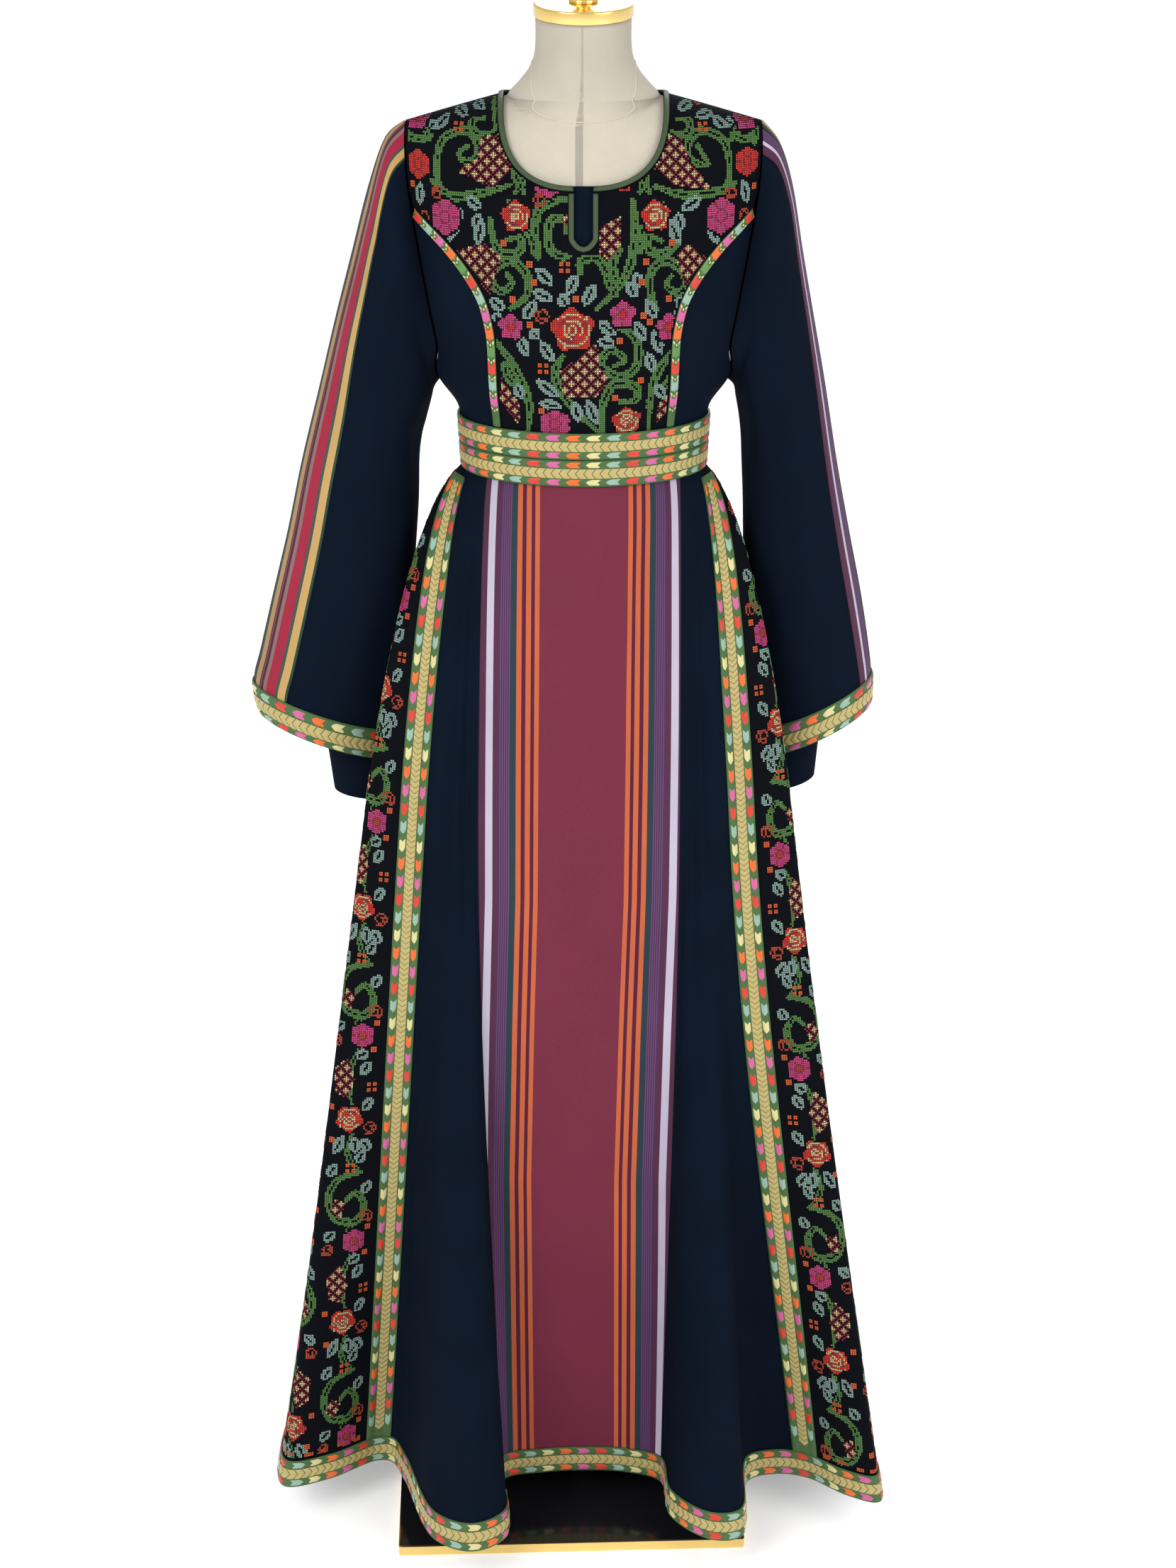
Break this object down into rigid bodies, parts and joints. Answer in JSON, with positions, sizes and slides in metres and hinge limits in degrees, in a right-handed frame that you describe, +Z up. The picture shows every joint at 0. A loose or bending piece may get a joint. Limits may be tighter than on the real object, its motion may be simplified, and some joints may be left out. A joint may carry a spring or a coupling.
{
  "type": "palestinian thobe dress on a dress form",
  "caption": "Long black thobe dress with embroidered yoke, striped panels, woven braids and belt, on a limbless linen dress form with a base plate.",
  "frame": {"origin": "on the floor, on the underside of the stand's base plate, under the pole", "axes": "+Z up, -Y towards the front of the dress, -X towards the side that a viewer in front sees on the left"},
  "size_m": [0.7044, 0.622, 1.6994],
  "materials": {
    "black_crepe": "matt black crepe with a faint navy cast",
    "embroidered_cloth": "black cloth covered with counted cross-stitch",
    "striped_cloth": "burgundy satin-faced striped weave",
    "braid": "woven satin and metallic braid",
    "binding": "olive satin binding",
    "linen": "plain beige-grey linen",
    "brass": "polished brass",
    "steel": "brushed steel tube",
    "black_gloss": "gloss black plate with a brass edge"
  },
  "bodies": {
    "root": {"yoke_front": "embroidered_cloth", "bodice_side_front_left": "black_crepe", "bodice_side_front_right": "black_crepe", "bodice_back": "black_crepe", "yoke_trim_left": "braid", "yoke_trim_right": "braid", "neck_binding": "binding", "neck_slit_binding": "binding", "sleeve_left": "black_crepe", "sleeve_right": "black_crepe", "sleeve_stripe_left": "striped_cloth", "sleeve_stripe_right": "striped_cloth", "cuff_band_left": "braid", "cuff_band_right": "braid", "inner_sleeve_left": "black_crepe", "inner_sleeve_right": "black_crepe", "skirt_centre_panel": "striped_cloth", "skirt_front_left": "black_crepe", "skirt_front_right": "black_crepe", "skirt_side_left": "embroidered_cloth", "skirt_side_right": "embroidered_cloth", "skirt_back": "black_crepe", "side_braid_left": "braid", "side_braid_right": "braid", "hem_braid": "braid", "belt_upper": "braid", "belt_lower": "braid", "form_torso": "linen", "neck_cap": "brass", "cap_knob": "brass", "stand_pole": "steel", "stand_base": "black_gloss"}
  },
  "joints": []
}
